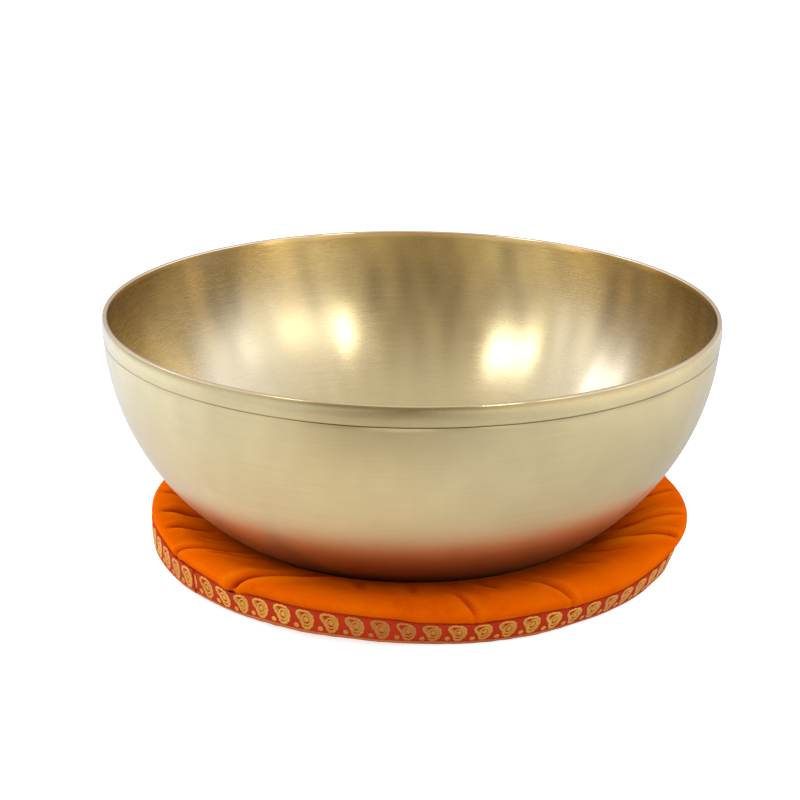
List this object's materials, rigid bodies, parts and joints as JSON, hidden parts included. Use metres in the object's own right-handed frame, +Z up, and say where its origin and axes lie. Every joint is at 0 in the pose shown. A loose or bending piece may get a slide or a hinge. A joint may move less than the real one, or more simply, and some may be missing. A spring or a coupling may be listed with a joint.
{
  "type": "singing bowl on cushion",
  "caption": "Large brushed bronze singing bowl with an incised line below its rim, resting on a thin round velvet cushion edged with a woven paisley ribbon.",
  "frame": {"origin": "on the bowl's axis, on the surface that the cushion lies on", "axes": "+Z up along the bowl's axis, from the cushion to the rim; -Y is the front"},
  "size_m": [0.3, 0.3, 0.126],
  "materials": {
    "bronze": "satin brushed bell bronze, lighter on the brushed outside and browner inside",
    "velvet": "orange cotton velvet with a short pile",
    "base_cloth": "plain woven orange cotton",
    "padding": "cotton wadding",
    "brocade": "red woven ribbon with raised gold paisleys and an orange selvedge",
    "thread_red": "red sewing thread",
    "thread_orange": "orange sewing thread"
  },
  "bodies": {
    "cushion": {"cushion_top_cover": "velvet", "cushion_filling": "padding", "cushion_base_cover": "base_cloth", "brocade_ribbon": "brocade", "upper_seam_thread": "thread_red", "lower_seam_thread": "thread_orange"},
    "bowl": {"singing_bowl": "bronze"}
  },
  "joints": [
    {"name": "bowl_lift", "type": "slide", "parent": "cushion", "child": "bowl", "axis": [0, 0, 1], "range_m": [0, 0.15]}
  ]
}
